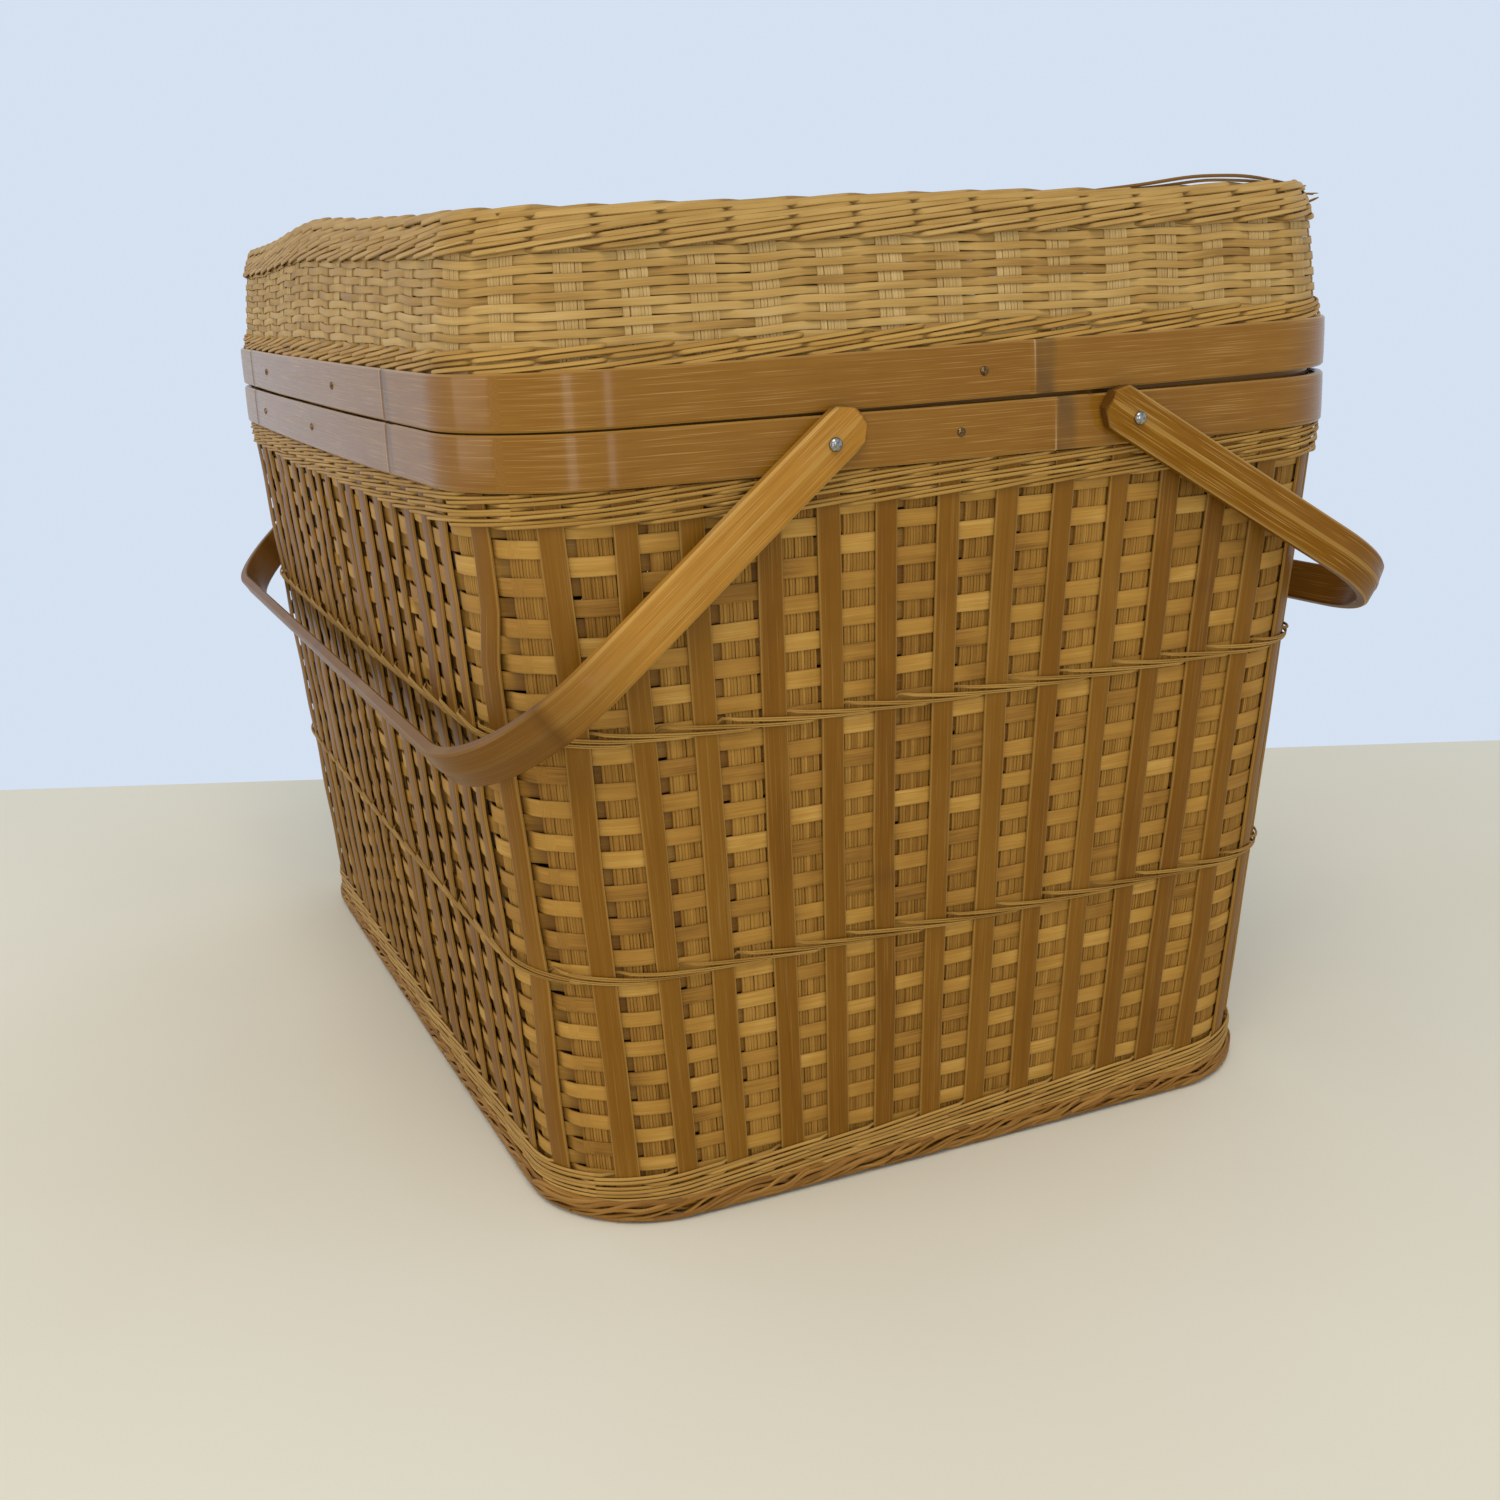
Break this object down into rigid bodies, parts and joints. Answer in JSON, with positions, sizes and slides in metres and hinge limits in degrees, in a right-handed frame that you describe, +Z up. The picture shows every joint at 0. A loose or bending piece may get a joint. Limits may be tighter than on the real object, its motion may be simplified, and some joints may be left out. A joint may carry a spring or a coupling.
{
  "type": "sewing basket",
  "caption": "Rectangular woven bamboo basket with a lift-off lid, bamboo rim bands, upright slats, twined rows and two swinging bail handles.",
  "frame": {"origin": "centre of the flat face the basket rests on", "axes": "+Z up, Y along the long sides, X across; the short face that the picture shows is at -Y"},
  "size_m": [0.411, 0.5548, 0.3765],
  "materials": {
    "weave": "split bamboo weave, dry satin",
    "slat": "stained bamboo slat, satin",
    "band": "varnished bamboo strip, gloss",
    "handle": "varnished bent bamboo strip, semi-gloss",
    "twine": "twined split bamboo strands, satin",
    "brad": "aged",
    "rivet": "bright"
  },
  "bodies": {
    "basket": {"base_panel": "weave", "wall_weave": "weave", "slats_front": "slat", "slats_back": "slat", "slats_left": "slat", "slats_right": "slat", "rim_outer_band": "band", "rim_inner_band": "band", "twining_rim": "twine", "twining_upper": "twine", "twining_lower": "twine", "twining_base": "twine", "foot_border": "twine", "body_brads": "brad", "rivet_front_left": "rivet", "rivet_front_right": "rivet", "rivet_back_left": "rivet", "rivet_back_right": "rivet"},
    "lid": {"lid_wall_weave": "weave", "lid_top_panel": "weave", "lid_outer_band": "band", "lid_inner_band": "band", "lid_twining_lower": "twine", "lid_twining_upper": "twine", "lid_brads": "brad"},
    "left_handle": {"left_handle": "handle"},
    "right_handle": {"right_handle": "handle"}
  },
  "joints": [
    {"name": "lid_lift", "type": "slide", "parent": "basket", "child": "lid", "axis": [0, 0, 1], "range_m": [0, 0.05]},
    {"name": "left_handle_swing", "type": "hinge", "parent": "basket", "child": "left_handle", "pos_m": [-0.0616, 0, 0.2906], "axis": [0, 1, 0], "range_deg": [-1.8, 143.8]},
    {"name": "right_handle_swing", "type": "hinge", "parent": "basket", "child": "right_handle", "pos_m": [0.0616, 0, 0.2906], "axis": [0, -1, 0], "range_deg": [-9.8, 135.8]}
  ]
}
